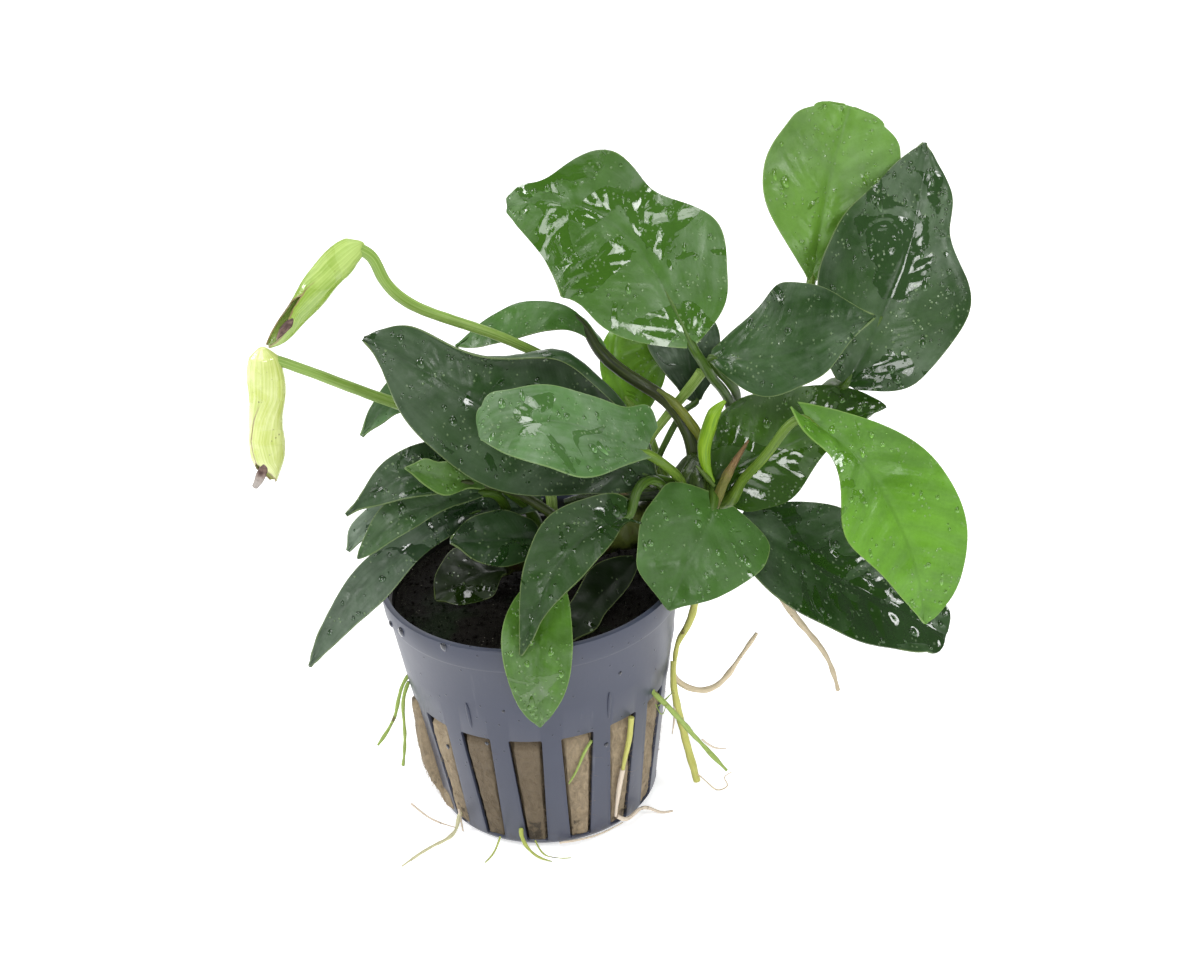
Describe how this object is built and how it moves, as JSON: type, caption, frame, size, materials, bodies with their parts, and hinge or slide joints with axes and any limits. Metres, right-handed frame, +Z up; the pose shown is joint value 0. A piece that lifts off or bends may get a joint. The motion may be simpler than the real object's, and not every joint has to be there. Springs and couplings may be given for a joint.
{
  "type": "potted dwarf aquarium plant",
  "caption": "Small broad-leaved aquarium plant: a creeping rhizome with stalked, pointed oval leaves, rooted in a mineral wool plug and soil in a slotted plastic net pot.",
  "frame": {"origin": "centre of the flat round underside of the pot, at the level that the pot stands on", "axes": "+Z up out of the pot, -Y towards the front of the plant with the heart-shaped leaf, +X towards the side where the rhizome reaches past the rim"},
  "size_m": [0.1285, 0.0611, 0.1245],
  "materials": {
    "leaf_dark": "satin",
    "leaf_bright": "satin",
    "leaf_grey": "satin",
    "pot_plastic": "satin",
    "mineral_wool": "matte",
    "soil": "matte",
    "rhizome": "satin",
    "stalk": "satin",
    "spathe": "satin",
    "dry_sheath": "matte",
    "root": "satin"
  },
  "bodies": {
    "root": {"leaf_top_middle": "leaf_dark", "leaf_right_large": "leaf_dark", "leaf_right_middle": "leaf_dark", "leaf_left_large": "leaf_dark", "leaf_right_low": "leaf_dark", "leaf_right_behind": "leaf_dark", "leaf_folded_back": "leaf_dark", "leaf_far_left": "leaf_dark", "leaf_left_upper": "leaf_dark", "leaf_left_lower": "leaf_dark", "leaf_left_long": "leaf_dark", "leaf_front_left": "leaf_dark", "leaf_front_dark": "leaf_dark", "leaf_soil_left": "leaf_dark", "leaf_soil_right": "leaf_dark", "leaf_top_right": "leaf_bright", "leaf_front_light": "leaf_bright", "leaf_heart": "leaf_bright", "leaf_right_light": "leaf_bright", "leaf_left_small": "leaf_bright", "leaf_front_hanging": "leaf_bright", "young_leaf": "leaf_bright", "leaf_back_pale": "leaf_grey", "leaf_back_grey": "leaf_grey", "leaf_left_grey": "leaf_grey", "pot": "pot_plastic", "rockwool": "mineral_wool", "soil": "soil", "rhizome": "rhizome", "flower_stalk_upper": "stalk", "flower_stalk_lower": "stalk", "cut_stalk": "stalk", "flower_upper": "spathe", "flower_lower": "spathe", "brown_sheath": "dry_sheath", "root_right_upper": "root", "root_right_long": "root", "root_right_green": "root", "root_right_thick": "root", "root_left": "root", "root_left_straight": "root", "root_hanging": "root", "root_floor_left": "root", "root_floor_front": "root"}
  },
  "joints": []
}
